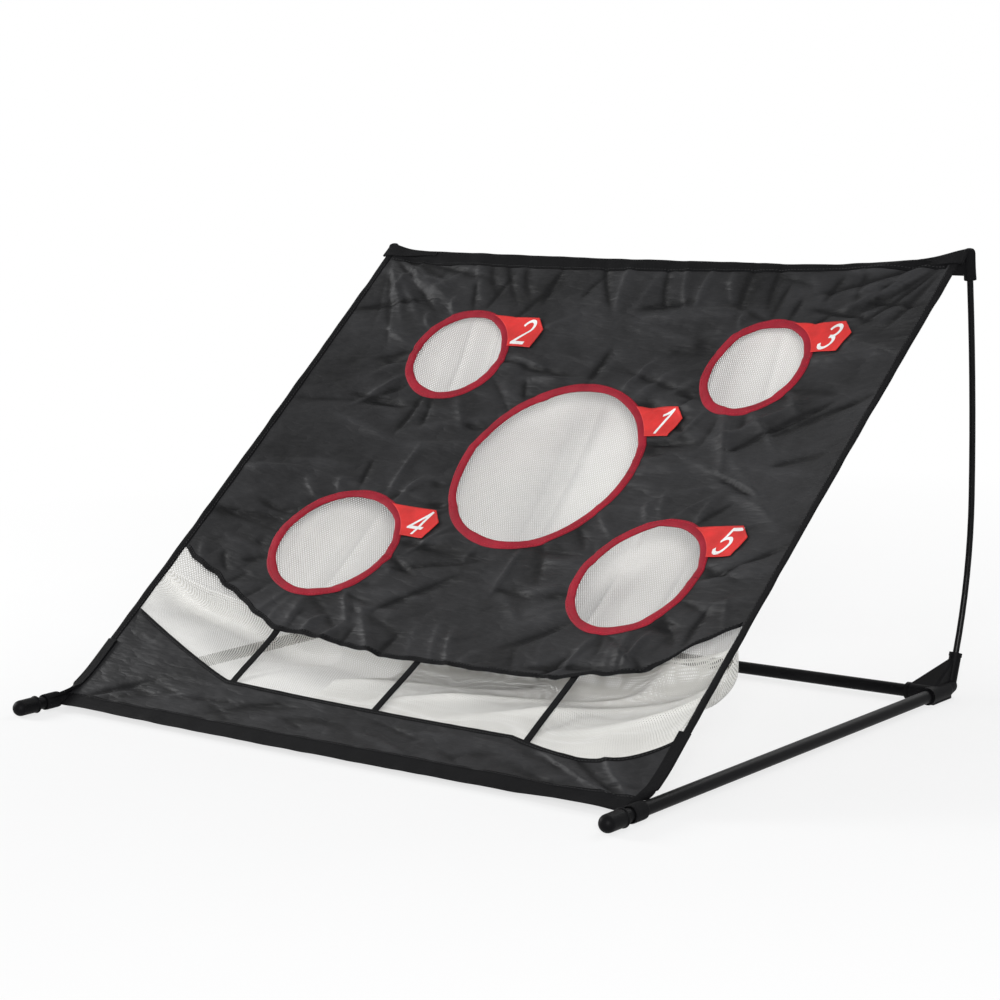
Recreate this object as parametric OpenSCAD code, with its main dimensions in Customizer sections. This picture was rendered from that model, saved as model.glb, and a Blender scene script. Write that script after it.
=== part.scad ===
// Golf chipping net: a plug-together tube frame, two sprung upright rods and a
// leaning cloth cover with five ringed targets, return slots and a catch net.
// X runs to the right, Y to the back, Z up; the floor is z = 0.

/* [Frame] */
// Distance between the side tubes, centre to centre
frame_w = 940; // [760:10:1100]
// Distance from the cover's bottom edge back to the crossbar
base_depth = 616; // [520:2:720]
// How far each side tube runs ahead of the cover's bottom edge
front_run = 78; // [64:1:110]
// Outside diameter of the base tubes
tube_d = 16; // [14:0.5:19]
// Wall of the base tubes
tube_wall = 1.2; // [0.8:0.1:2.5]
// Radial clearance of a tube in a socket or a cap
tube_fit = 0.06; // [0.02:0.01:0.09]

/* [Upright rods] */
// Diameter of the upright rods
rod_d = 8; // [6:0.5:9]
// Height of the rod tips above the tube axis
tip_rise = 552; // [460:2:640]
// How far the rod tips stand behind the crossbar
tip_back = 71; // [58:1:90]
// How far the rod tips spread beyond the side tubes
tip_out = 10; // [0:1:20]
// Height above the tube axis where the bowed rod stands upright
bow_h = 240; // [190:2:300]
// Forward lean of the rod at its tip, in degrees
tip_lean = 7; // [3:0.2:11]

/* [Rear connectors] */
// How far the rod socket stands behind the crossbar
rod_setback = 40; // [34:1:48]
// Wall of the two tube sockets
socket_wall = 2.4; // [1.8:0.1:3]
// Depth of the side tube's socket
side_grip = 42; // [30:1:48]
// How far the side socket reaches ahead of the crossbar
side_mouth = 17; // [12:1:24]
// Distance of the crossbar socket's mouth from the side tube's axis
cross_mouth = 38; // [32:1:50]
// Length of the rod socket, from the tube axis to its mouth
rod_mouth = 46; // [36:1:60]
// Wall of the rod socket
rod_socket_wall = 3.6; // [2.4:0.2:5]
// Raised collar round each socket mouth
collar_h = 0.7; // [0.3:0.1:1]
// Edge radius of the gusset between the sockets
gusset_r = 3; // [2:0.5:5]
// Width of the flat foot under a connector
foot_w = 12; // [8:1:16]

/* [Caps and tips] */
// Wall of the soft end caps
cap_wall = 2.2; // [1.4:0.1:3]
// How far a cap slips over its tube
cap_grip = 26; // [16:1:34]
// Height of the rolled rim at the cap's mouth
cap_rim = 1.1; // [0.8:0.1:2]
// Outside diameter of the end tip on a rod
tip_d = 11; // [10:0.5:13]
// Length of the end tip on a rod
tip_len = 24; // [16:1:32]

/* [Cover] */
// Depth of the sag in the middle of the cover
sag = 52; // [20:1:80]
// How far the side edges are drawn in at half height
edge_draw = 4; // [0:1:20]
// How far the cover's top corners spread beyond the side tubes
top_out = 8; // [0:1:12]
// Dip of the top edge between the pockets
top_dip = 8; // [0:1:30]
// How far the cloth runs on below the plane's foot, towards the loops
apron = 22; // [12:1:26]
// Dip of the bottom edge between the loops
bottom_dip = 8; // [0:1:10]
// How far the apron turns up from the plane, to lie just off the floor
flare = 14; // [11:0.5:20]
// Height up the cover where the apron starts to turn
flare_h = 60; // [40:1:70]
// Thickness of the cloth
cloth_t = 1.2; // [0.8:0.1:2]
// Clearance between a binding, tab or divider and the cloth it is sewn to
seam_gap = 0.3; // [0.25:0.05:0.5]
// Thickness of the hems
hem_t = 3; // [2:0.1:4]
// Width of the top hem
top_hem_w = 22; // [14:1:32]
// Width of the bottom hem
bottom_hem_w = 27; // [16:1:34]
// Width of the side hems
side_hem_w = 15; // [10:1:22]
// Length of the cover's corner beyond the top hem
corner_reach = 15; // [10:1:24]
// How far the rod tips stand behind the plane of the cover
tip_drop = 4; // [2:0.5:8]

/* [Targets] */
// Radius of the middle target
middle_r = 131; // [100:1:140]
// Radius of the upper targets
upper_r = 68; // [50:1:76]
// Radius of the lower targets
lower_r = 84; // [60:1:92]
// Height of the middle target's centre up the cover
middle_v = 510; // [480:1:530]
// Height of the upper targets' centres up the cover
upper_v = 684; // [670:1:720]
// Height of the lower targets' centres up the cover
lower_v = 334; // [320:1:350]
// Distance of the outer targets from the middle one
target_x = 248; // [220:1:290]
// How far all targets sit to the right of the middle
target_shift = 5; // [0:1:12]
// Width of the binding sewn round each target
ring_w = 12.5; // [8:0.5:16]
// Height of the binding above the cloth
ring_t = 1.4; // [1:0.1:2.4]
// Height of a number tab
tab_h = 50; // [40:1:60]
// Thickness of a number tab
tab_t = 0.9; // [0.6:0.1:1.4]
// Reach of a number tab beyond its ring
tab_reach = 57; // [44:1:66]
// Height of a number tab's centre line round its ring, in degrees
tab_angle = 36; // [28:1:44]

/* [Return slots] */
// Height of the slots' top edge up the cover
slot_top = 160; // [140:1:180]
// Height of the slots' bottom edge up the cover
slot_bottom = 71; // [60:1:90]
// Rise of the top edge towards the sides
slot_rise = 102; // [40:1:110]
// Rise of the flap's left end
flap_rise_left = 83; // [40:1:90]
// Rise of the flap's right end
flap_rise_right = 44; // [0:1:60]
// Depth of the slack dip in the flap's right half
flap_slack = 16; // [0:1:18]
// Fall of the flap's edge from left to right, over half the width
flap_tilt = 10; // [0:1:16]
// Distance between the slot dividers
divider_pitch = 243; // [200:1:270]
// How far the dividers sit to the right of the middle
divider_shift = 15; // [0:1:24]
// Width of a slot divider
divider_w = 9; // [6:1:20]
// Length of each end of a divider that is sewn behind the cloth
divider_lap = 10; // [6:1:16]

/* [Loops and pockets] */
// Clearance of the front loops round the side tubes
loop_gap = 0.5; // [0.3:0.1:1.5]
// Thickness of the webbing
web_t = 2; // [1.2:0.1:2.6]
// How far the loop reaches ahead of the cover's bottom edge
loop_front = 40; // [30:1:52]
// Length of the loop along the tube
loop_len = 24; // [16:1:32]
// Height of the webbing wedge up the side hem
wedge_h = 100; // [60:1:110]
// Length of the sleeve of a corner pocket
pocket_len = 34; // [28:1:40]

/* [Catch net] */
// Thickness of the net
net_t = 1.2; // [0.8:0.1:2]
// Depth of the net behind the middle of the targets
net_back = 70; // [40:1:80]
// Depth of the net bag
bag_depth = 82; // [50:1:90]
// Height of the net bag's back wall up the cover
bag_top = 233; // [215:1:245]
// Depth of the hanging folds
fold = 5; // [0:0.5:8]
// Number of hanging folds across the net
folds = 5; // [3:1:6]

/* [Hidden] */

$fn = 48;

// Finishes
TUBE = "#17181a";
MOULDED = "#1d1e20";
VINYL = "#141416";
CLOTH = "#38383b";
BINDING = "#101012";
RED = "#b01e32";
BRIGHT_RED = "#e13230";
NET = "#dcdcd6";

// Frame places, measured from the cover's bottom edge at the height of the tube axis
half = frame_w / 2;
tube_r = tube_d / 2;
bore_r = tube_r + tube_fit;
socket_r = bore_r + socket_wall;
rim_r = bore_r + cap_wall + cap_rim;
axis_h = max(rim_r, socket_r + collar_h);
rod_bore_r = rod_d / 2 + tube_fit;
rod_socket_r = rod_bore_r + rod_socket_wall;
rod_foot = base_depth + rod_setback;
rod_start = 8;
rod_sides = 20;
side_end = base_depth - side_mouth + side_grip;
cross_end = socket_r + 1.5;
closed_end = side_grip - side_mouth + 3;

// The rod: straight in its socket, then two arcs that meet where it stands upright
tip_y = base_depth + tip_back;
upper_h = tip_rise - bow_h;
bow_y = tip_y + upper_h * tan(tip_lean / 2);
rod_splay = asin(tip_out / tip_rise);
rod_tilt = 2 * atan((bow_y - rod_foot) / (bow_h + rod_mouth));
low_bend = (bow_h - rod_mouth * cos(rod_tilt)) / sin(rod_tilt);
high_bend = upper_h / sin(tip_lean);

// The cover's plane runs from the bottom edge to just in front of the rod tips
tip_reach = norm([tip_y, tip_rise]);
lean = atan2(tip_rise, tip_y) + asin(tip_drop / tip_reach);
cover_h = sqrt(tip_reach * tip_reach - tip_drop * tip_drop) - corner_reach;

// The middle of the footprint
cap_nose = bore_r + cap_wall;
front_end = -front_run - cap_nose;
rear_end = bow_y + rod_d / 2;
mid_y = (front_end + rear_end) / 2;

// Targets: centre across, centre up, radius
TARGETS = [[target_shift, middle_v, middle_r],
    [target_shift - target_x, upper_v, upper_r],
    [target_shift + target_x, upper_v, upper_r],
    [target_shift - target_x, lower_v, lower_r],
    [target_shift + target_x, lower_v, lower_r]];

// ---- The shape of the cover, in its own plane: x across, v up the slope, w outwards

// 0 at the edges of the cover and 1 in the middle of its height
function arch(v) = max(0, 4 * (v / cover_h) * (1 - v / cover_h));
function half_at(v) = half + top_out * v / cover_h - edge_draw * arch(v);
function across(x) = max(0, 1 - pow(x / half, 2));
function turned(v) = pow(max(0, (flare_h - v) / (flare_h + apron)), 2);
function cover_at(x, v) = flare * turned(v) - sag * across(x) * arch(v);
function top_edge(x) = cover_h - top_dip * across(x);
function bottom_edge(x) = -apron - bottom_dip * across(x);
// 0 over the middle half of the cover, rising to 1 at the sides
function ramp(x) = max(0, (abs(x) / half - 0.5) / 0.5);
function slot_top_at(x) = slot_top + slot_rise * ramp(x);
// The left end of the flap rises evenly; the right end hangs slack and then turns up
function flap_rise(x) = x < 0 ? flap_rise_left * pow(ramp(x), 1.1)
    : flap_rise_right * pow(ramp(x), 5) - flap_slack * sin(180 * min(1, ramp(x)));
function slot_bottom_at(x) = slot_bottom - flap_tilt * x / half + flap_rise(x);
function mix(a, b, t) = a + (b - a) * t;

// ---- Builders for cloth

// Quads between two rows of m points, as triangles; wrap closes the row
function band_faces(a, b, m, wrap) =
    [for (i = [0:m - (wrap ? 1 : 2)])
        let (j = (i + 1) % m)
            each [[a + i, a + j, b + j], [a + i, b + j, b + i]]];

// Carries a closed outline of m points along n stations; loop joins the last to the first
module sweep(rows, loop = false) {
    m = len(rows[0]);
    n = len(rows);
    sides = [for (k = [0:n - (loop ? 1 : 2)])
        each band_faces(k * m, ((k + 1) % n) * m, m, true)];
    start = [for (i = [1:m - 2]) [0, i + 1, i]];
    end = [for (i = [1:m - 2]) [(n - 1) * m, (n - 1) * m + i, (n - 1) * m + i + 1]];
    polyhedron([for (r = rows) each r], loop ? sides : concat(sides, start, end));
}

// A sheet between two faces, each a function of a and b that run from 0 to 1
module sheet(nu, nv, low, high) {
    m = nu + 1;
    count = m * (nv + 1);
    back = [for (j = [0:nv], i = [0:nu]) low(i / nu, j / nv)];
    front = [for (j = [0:nv], i = [0:nu]) high(i / nu, j / nv)];
    back_faces = [for (j = [0:nv - 1]) each band_faces(j * m, (j + 1) * m, m, false)];
    front_faces = [for (f = back_faces) [for (k = [2:-1:0]) f[k] + count]];
    rim = concat([for (i = [0:nu]) i],
        [for (j = [1:nv]) j * m + nu],
        [for (i = [nu - 1:-1:0]) nv * m + i],
        [for (j = [nv - 1:-1:1]) j * m]);
    rim_faces = [for (k = [0:len(rim) - 1])
        let (a = rim[k], b = rim[(k + 1) % len(rim)])
            each [[a, a + count, b + count], [a, b + count, b]]];
    polyhedron(concat(back, front), concat(back_faces, front_faces, rim_faces));
}

// Cloth of one thickness that follows the cover; place gives [x, v] from a and b
module cloth(nu, nv, place) {
    face = function (lift) function (a, b)
        let (q = place(a, b)) [q.x, q.y, cover_at(q.x, q.y) + lift];
    sheet(nu, nv, face(-cloth_t / 2), face(cloth_t / 2));
}

// A binding's outline: flat underneath, softly rounded on top; q is [x, v] across its width
function binding(inner, outer, low, high) =
    [for (p = [[0, 0], [0, 0.6], [0.18, 1], [0.82, 1], [1, 0.6], [1, 0]])
        let (q = mix(inner, outer, p.x))
            [q.x, q.y, cover_at(q.x, q.y) + mix(low, high, p.y)]];

module on_cover() {
    translate([0, -mid_y, axis_h])
        rotate([lean, 0, 0])
            children();
}

// Right-hand pieces are drawn once; side -1 mirrors them to the left
module on_side(side) {
    mirror([side < 0 ? 1 : 0, 0, 0])
        children();
}

module on_frame(side = 1) {
    on_side(side)
        translate([0, -mid_y, axis_h])
            children();
}

// ---- Frame

module base_tube(length) {
    difference() {
        cylinder(r = tube_r, h = length);
        translate([0, 0, -1])
            cylinder(r = tube_r - tube_wall, h = length + 2);
    }
}

module crossbar_tube() {
    color(TUBE)
        on_frame()
            translate([-half + cross_end, base_depth, 0])
                rotate([0, 90, 0])
                    base_tube(frame_w - 2 * cross_end);
}

module side_tube(side) {
    color(TUBE)
        on_frame(side)
            translate([half, side_end, 0])
                rotate([90, 0, 0])
                    base_tube(side_end + front_run);
}

// A socket's outside along Z, from its root to its mouth, with a collar
module socket(r, length) {
    cylinder(r = r, h = length);
    translate([0, 0, length - 5])
        cylinder(r = r + collar_h, h = 5);
}

module along_rod_socket() {
    translate([0, rod_setback, 0])
        rotate([0, rod_splay, 0])
            rotate([-rod_tilt, 0, 0])
                children();
}

module at_rod_foot(side) {
    on_frame(side)
        translate([half, rod_foot, 0])
            rotate([0, rod_splay, 0])
                children();
}

// The right-hand connector, with the crossbar's end at its origin
module connector() {
    difference() {
        union() {
            // Side tube socket with a domed back
            translate([0, closed_end, 0])
                rotate([90, 0, 0])
                    socket(socket_r, closed_end + side_mouth);
            translate([0, closed_end, 0])
                sphere(r = socket_r);
            // Crossbar socket
            rotate([0, -90, 0])
                socket(socket_r, cross_mouth);
            // Rod socket, leaning back, on a rounded elbow
            along_rod_socket()
                socket(rod_socket_r, rod_mouth);
            hull() {
                translate([0, closed_end, 0])
                    sphere(r = socket_r - 0.3, $fn = 32);
                along_rod_socket()
                    translate([0, 0, 3])
                        sphere(r = socket_r - 1, $fn = 32);
            }
            // Gusset from the crossbar socket up to the rod socket
            hull() {
                translate([6 - cross_mouth, 0, 0])
                    sphere(r = gusset_r, $fn = 32);
                translate([6 - cross_mouth, 0, socket_r - gusset_r])
                    sphere(r = gusset_r, $fn = 32);
                translate([0, 0, socket_r - gusset_r])
                    sphere(r = gusset_r, $fn = 32);
                along_rod_socket()
                    translate([0, 0, gusset_r])
                        sphere(r = gusset_r, $fn = 32);
                along_rod_socket()
                    translate([0, -1, rod_mouth - 7])
                        sphere(r = gusset_r, $fn = 32);
            }
            // Flat foot with a round back end
            translate([-foot_w / 2, -side_mouth + 5, -axis_h])
                cube([foot_w, closed_end + side_mouth, socket_r]);
            translate([0, closed_end + 5, -axis_h])
                cylinder(d = foot_w, h = socket_r);
        }
        translate([0, side_grip - side_mouth, 0])
            rotate([90, 0, 0])
                cylinder(r = bore_r, h = side_grip + 1);
        translate([-cross_end, 0, 0])
            rotate([0, -90, 0])
                cylinder(r = bore_r, h = cross_mouth - cross_end + 1);
        along_rod_socket()
            translate([0, 0, rod_start])
                cylinder(r = rod_bore_r, h = rod_mouth);
    }
}

module rear_connector(side) {
    color(MOULDED)
        on_frame(side)
            translate([half, base_depth, 0])
                connector();
}

// Sections square to the rod: its foot, then along both arcs, c degrees past upright
function rod_section(y, z, c) =
    [for (a = [0:360 / rod_sides:359])
        [rod_d / 2 * cos(a), y - rod_d / 2 * sin(a) * cos(c), z - rod_d / 2 * sin(a) * sin(c)]];
function rod_station(c) = let (bend = c < 0 ? low_bend : high_bend)
    rod_section(bow_y - rod_foot - bend * (1 - cos(c)), bow_h + bend * sin(c), c);

module upright_rod(side) {
    steps = 8;
    foot = rod_section(rod_start * sin(rod_tilt), rod_start * cos(rod_tilt), -rod_tilt);
    color(TUBE)
        at_rod_foot(side)
            sweep([foot, for (i = [-steps:steps])
                rod_station(i < 0 ? rod_tilt * i / steps : tip_lean * i / steps)]);
}

// Places a rod's end tip: its Z axis runs on from the rod's end
module at_tip(side) {
    at_rod_foot(side)
        translate([0, tip_y - rod_foot, tip_rise])
            rotate([tip_lean, 0, 0])
                children();
}

module rod_tip(side) {
    shell = (tip_d - rod_d) / 2;
    color(VINYL)
        at_tip(side)
            rotate_extrude()
                polygon([[0, 0.4], [rod_d / 2 + 0.4, 0.4], [rod_d / 2 + 0.4, -tip_len],
                    [tip_d / 2 - 0.4, -tip_len], [tip_d / 2, 0.4 - tip_len], [tip_d / 2, 0],
                    for (a = [30:30:90]) [tip_d / 2 - shell + shell * cos(a),
                        shell * 1.6 * sin(a)], [0, shell * 1.6]]);
}

module front_cap(side) {
    outer = bore_r + cap_wall;
    back = cap_grip;
    color(VINYL)
        on_frame(side)
            translate([half, -front_run, 0])
                rotate([-90, 0, 0])
                    rotate_extrude()
                        difference() {
                            union() {
                                intersection() {
                                    circle(r = outer);
                                    translate([0, -outer])
                                        square([outer, outer]);
                                }
                                square([outer, back]);
                                translate([0, back - 3])
                                    square([rim_r - 1.2, 3]);
                                translate([rim_r - 1.2, back - 1.5])
                                    intersection() {
                                        scale([0.8, 1])
                                            circle(r = 1.5);
                                        square([3, 6], center = true);
                                    }
                            }
                            square([bore_r, back + 1]);
                            translate([-outer, -outer - 1])
                                square([outer, 2 * outer + back + 2]);
                        }
}

// ---- Cover

// The cloth with its five round holes, from the slots up to the top hem
module target_panel() {
    place = function (a, b)
        let (x0 = mix(-1, 1, a) * (half - side_hem_w),
            v = mix(slot_top_at(x0), top_edge(x0) - top_hem_w, b))
            [mix(-1, 1, a) * (half_at(v) - side_hem_w), v];
    color(CLOTH)
        on_cover()
            difference() {
                cloth(24, 16, place);
                for (t = TARGETS)
                    translate([t[0], t[1], -sag - 20])
                        cylinder(r = t[2] + 2, h = sag + 40);
            }
}

module bottom_flap() {
    place = function (a, b)
        let (x0 = mix(-1, 1, a) * (half - side_hem_w),
            v = mix(bottom_edge(x0) + bottom_hem_w, slot_bottom_at(x0), b))
            [mix(-1, 1, a) * (half_at(v) - side_hem_w), v];
    color(CLOTH)
        on_cover()
            cloth(24, 3, place);
}

// A hem across the cover between two edges, each a function of x
module cross_hem(low, high) {
    stations = 24;
    spot = function (a, edge)
        let (v = edge(a * (half - side_hem_w))) [a * (half_at(v) - side_hem_w), v];
    color(BINDING)
        on_cover()
            sweep([for (i = [0:stations])
                let (a = mix(-1, 1, i / stations))
                    binding(spot(a, low), spot(a, high), -hem_t / 2, hem_t / 2)]);
}

module top_hem() {
    cross_hem(function (x) top_edge(x) - top_hem_w, function (x) top_edge(x));
}

module bottom_hem() {
    cross_hem(function (x) bottom_edge(x), function (x) bottom_edge(x) + bottom_hem_w);
}

module side_hem(side) {
    stations = 16;
    color(BINDING)
        on_side(side)
            on_cover()
                sweep([for (i = [0:stations])
                    let (v = mix(wedge_h, cover_h, i / stations))
                        binding([half_at(v), v], [half_at(v) - side_hem_w, v],
                            -hem_t / 2, hem_t / 2)]);
}

module target_ring(n) {
    t = TARGETS[n - 1];
    color(RED)
        on_cover()
            sweep([for (a = [0:9:351])
                let (d = [cos(a), sin(a)], c = [t[0], t[1]])
                    binding(c + d * (t[2] + ring_w), c + d * t[2], cloth_t / 2 + seam_gap,
                        cloth_t / 2 + seam_gap + ring_t)], loop = true);
}

// A flag sewn to the ring's outer edge, with a blunt point on its free end
module number_tab(n) {
    t = TARGETS[n - 1];
    r = t[2] + ring_w + 0.1;
    mid = r * sin(tab_angle);
    end = r * cos(tab_angle) + tab_reach;
    arc = [for (k = [0:6])
        let (y = mid - tab_h / 2 + tab_h * k / 6) [sqrt(r * r - y * y), y]];
    outline = concat(arc, [[end - 16, mid + tab_h / 2], [end, mid + tab_h * 0.12],
        [end - 9, mid - tab_h / 2]]);
    spots = concat([[end - tab_reach / 2, mid]], outline);
    m = len(outline);
    lifts = [cloth_t / 2 + seam_gap, cloth_t / 2 + seam_gap + tab_t];
    points = [for (h = lifts, s = spots)
        let (x = t[0] + s.x, v = t[1] + s.y) [x, v, cover_at(x, v) + h]];
    faces = [for (i = [1:m])
        let (j = i % m + 1, o = m + 1)
            each [[0, j, i], [o, o + i, o + j], [i, j, i + o], [j, j + o, i + o]]];
    color(BRIGHT_RED)
        on_cover()
            polyhedron(points, faces);
}

module slot_divider(n) {
    x = divider_shift + (n - 2) * divider_pitch;
    low = slot_bottom_at(x) - divider_lap;
    high = slot_top_at(x) + divider_lap;
    lift = -cloth_t / 2 - seam_gap;
    color(BINDING)
        on_cover()
            sweep([for (i = [0:6])
                let (v = mix(low, high, i / 6))
                    binding([x - divider_w / 2, v], [x + divider_w / 2, v], lift,
                        lift - web_t / 2)]);
}

// Webbing: a loop round the side tube and a wedge that runs from it up to the side hem
module front_loop(side) {
    inner = tube_r + loop_gap;
    outer = inner + web_t;
    rows = 12;
    turn_at = 0.6;
    foot_v = 20;
    // Where the wedge lies in the hem's line, and where it sits on top of the loop
    on_hem = function (a, b)
        let (v = mix(wedge_h, foot_v, b))
            [half_at(v) - side_hem_w * (1 - a), v, flare * turned(v)];
    on_loop = function (a)
        let (y = mix(-loop_front, 6, a), z = outer - web_t / 2)
            [half, y * cos(lean) + z * sin(lean), z * cos(lean) - y * sin(lean)];
    spine = function (a, b) b < turn_at ? on_hem(a, b / turn_at)
        : let (t = (b - turn_at) / (1 - turn_at)) mix(on_hem(a, 1), on_loop(a), t);
    section = function (b)
        [for (p = [[0, -1], [1, -1], [1, 1], [0, 1]])
            spine(p.x, b) + [0, 0, p.y * web_t / 2]];
    color(BINDING) {
        on_frame(side)
            translate([half, -loop_front + loop_len, 0])
                rotate([90, 0, 0])
                    difference() {
                        cylinder(r = outer, h = loop_len);
                        translate([0, 0, -1])
                            cylinder(r = inner, h = loop_len + 2);
                    }
        on_side(side)
            on_cover()
                sweep([for (k = [rows:-1:0]) section(k / rows)]);
    }
}

// The corner pocket: a sleeve over the rod's tip and a patch that joins the hems
module top_pocket(side) {
    inner = tip_d / 2 + 0.3;
    outer = inner + web_t;
    patch_w = 3 * side_hem_w;
    edge = half_at(cover_h);
    patch = concat([for (k = [0:3])
        let (x = edge - mix(patch_w, side_hem_w, k / 3)) [x, top_edge(x) + 0.2]],
        [[edge - side_hem_w, cover_h + 0.2], [edge, cover_h + 0.2],
        [edge + outer * 0.6, cover_h + corner_reach / 2],
        [edge + outer * 0.6, cover_h + corner_reach + 4],
        [edge - outer, cover_h + corner_reach]]);
    color(BINDING)
        difference() {
            union() {
                at_tip(side)
                    rotate_extrude()
                        polygon([[0, 6], [outer - 2, 6], [outer, 4], [outer, -pocket_len],
                            [0, -pocket_len]]);
                on_side(side)
                    on_cover()
                        translate([0, 0, -hem_t / 2])
                            linear_extrude(hem_t)
                                polygon(patch);
            }
            at_tip(side)
                translate([0, 0, -pocket_len - 1])
                    cylinder(r = inner, h = pocket_len + 4.4);
        }
}

// ---- Catch net

// Down the back of the targets: height up the cover, and share of the net's depth
NET_BACK = [[cover_h - top_hem_w - 10, 0], [cover_h - 75, 0.25], [700, 0.65], [560, 0.9],
    [420, 1], [310, 1], [bag_top + 20, 0.9]];
// Round the bag: share of the way from its top to the flap's edge, then shares of the
// bag's depth and of the net's depth
NET_BAG = [[0, 0, 0.88], [0.04, 0.42, 0.45], [0.08, 0.8, 0.15], [0.15, 1, 0.14],
    [0.28, 0.9, 0.16], [0.42, 0.62, 0.16], [0.62, 0.3, 0.1], [0.82, 0.1, 0.03], [1, 0, 0]];

// s runs from -1 at the left side to 1 at the right; the bag has blunt end walls
function net_row(k, x) = k < len(NET_BACK)
    ? [NET_BACK[k][0], 0, NET_BACK[k][1]]
    : let (row = NET_BAG[k - len(NET_BACK)])
        [mix(bag_top, slot_bottom_at(x) - 2, row[0]), row[1], row[2]];
function net_depth(row, s) = row[1] * bag_depth * (1 - pow(s, 40))
    + row[2] * (1 - pow(s, 4)) * (net_back + fold * cos(180 * folds * s));

module catch_net() {
    bands = len(NET_BACK) + len(NET_BAG) - 1;
    gap = hem_t / 2 + 0.4;
    face = function (lift) function (a, b)
        let (s = sin(mix(-90, 90, a)),
            row = net_row(round(b * bands), s * half),
            x = s * (half_at(row[0]) - side_hem_w / 2))
                [x, row[0], cover_at(x, row[0]) - gap - net_depth(row, s) - lift];
    color(NET)
        on_cover()
            sheet(32, bands, face(0), face(net_t));
}

crossbar_tube();
side_tube(-1);  // left_side_tube
side_tube(1);  // right_side_tube
rear_connector(-1);  // left_rear_connector
rear_connector(1);  // right_rear_connector
upright_rod(-1);  // left_upright_rod
upright_rod(1);  // right_upright_rod
rod_tip(-1);  // left_rod_tip
rod_tip(1);  // right_rod_tip
front_cap(-1);  // left_front_cap
front_cap(1);  // right_front_cap
target_panel();
bottom_flap();
top_hem();
bottom_hem();
side_hem(-1);  // left_hem
side_hem(1);  // right_hem
top_pocket(-1);  // left_top_pocket
top_pocket(1);  // right_top_pocket
front_loop(-1);  // left_front_loop
front_loop(1);  // right_front_loop
target_ring(1);  // target_ring_1
target_ring(2);  // target_ring_2
target_ring(3);  // target_ring_3
target_ring(4);  // target_ring_4
target_ring(5);  // target_ring_5
number_tab(1);  // number_tab_1
number_tab(2);  // number_tab_2
number_tab(3);  // number_tab_3
number_tab(4);  // number_tab_4
number_tab(5);  // number_tab_5
slot_divider(1);  // slot_divider_1
slot_divider(2);  // slot_divider_2
slot_divider(3);  // slot_divider_3
catch_net();
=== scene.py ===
# %% [markdown]
# # A golf chipping net
# The real object is a plug-together frame of black tube and rod that holds a leaning
# cloth cover tight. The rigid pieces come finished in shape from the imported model, so
# this lesson gives them their surfaces, and makes every cloth piece anew, as thin
# surfaces worked out with numpy: the wrinkled panel with its five bound holes, the
# hems, tabs, straps and loops, and the knitted net behind.

# %% Load the frame
import math

import bmesh
import bpy
import numpy as np
from mathutils import Matrix, Vector


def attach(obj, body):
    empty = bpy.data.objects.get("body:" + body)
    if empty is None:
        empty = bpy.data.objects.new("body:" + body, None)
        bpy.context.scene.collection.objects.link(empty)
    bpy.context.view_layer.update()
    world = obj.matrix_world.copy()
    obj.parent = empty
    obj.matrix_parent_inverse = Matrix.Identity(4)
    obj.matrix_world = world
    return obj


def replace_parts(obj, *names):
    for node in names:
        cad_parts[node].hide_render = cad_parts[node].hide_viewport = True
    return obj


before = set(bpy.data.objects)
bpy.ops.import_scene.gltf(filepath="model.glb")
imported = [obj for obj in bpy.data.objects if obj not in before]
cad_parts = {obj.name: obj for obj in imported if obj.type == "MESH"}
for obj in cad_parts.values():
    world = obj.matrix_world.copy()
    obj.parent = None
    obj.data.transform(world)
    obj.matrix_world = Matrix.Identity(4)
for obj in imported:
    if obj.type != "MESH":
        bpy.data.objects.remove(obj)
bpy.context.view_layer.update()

ROOT = "frame_and_cover"

# %% [markdown]
# ## The sizes
# The cloth has to meet the solids, so its sizes are the ones that the solids were
# designed with, here in metres, and a comment says where one differs. The cover is
# thought of in its own plane: x runs across, v runs up the slope and w stands out of
# the cloth towards the player.

# %% Driving sizes
MM = 0.001
HALF = 470 * MM             # the middle to a side tube's axis
TUBE_R = 8 * MM
AXIS_H = 11.36 * MM         # height of the tube axis over the floor
MID_Y = 310.911 * MM        # from the cover's bottom edge to the middle of the footprint
LEAN = math.radians(39.0417)
COVER_H = 866.28 * MM       # up the slope, from the plane's foot to the corners
SIDES = ((-1, "left"), (1, "right"))

SAG = 52 * MM
EDGE_DRAW = 4 * MM
TOP_OUT = 8 * MM
TOP_DIP = 8 * MM
APRON = 22 * MM
BOTTOM_DIP = 3 * MM         # the solid's 8 mm, drawn tighter by the stitching
FLARE = 14 * MM
FLARE_H = 60 * MM
CLOTH_T = 1.2 * MM
HEM_T = 3 * MM
TOP_HEM_W = 22 * MM
BOTTOM_HEM_W = 27 * MM
SIDE_HEM_W = 15 * MM

RING_W = 12.5 * MM
# x, v and radius of each hole, in millimetres
TARGETS = [(5, 510, 131), (-243, 684, 68), (253, 684, 68), (-243, 334, 84), (253, 334, 84)]
TARGETS = [tuple(size * MM for size in target) for target in TARGETS]

TAB_H = 50 * MM
TAB_REACH = 57 * MM
TAB_ANGLE = math.radians(36)

SLOT_TOP = 160 * MM
SLOT_BOTTOM = 71 * MM
SLOT_RISE = 102 * MM
FLAP_RISE_LEFT = 83 * MM
FLAP_RISE_RIGHT = 44 * MM
FLAP_SLACK = 16 * MM
FLAP_TILT = 10 * MM
DIVIDERS = [x * MM for x in (-228, 15, 258)]
print("targets:", len(TARGETS), "dividers:", len(DIVIDERS))

# %% [markdown]
# ## The plane of the cover
# Every cloth piece asks the same few functions where the cloth lies, so the pieces
# meet without fitting. Each works on whole arrays.

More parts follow.
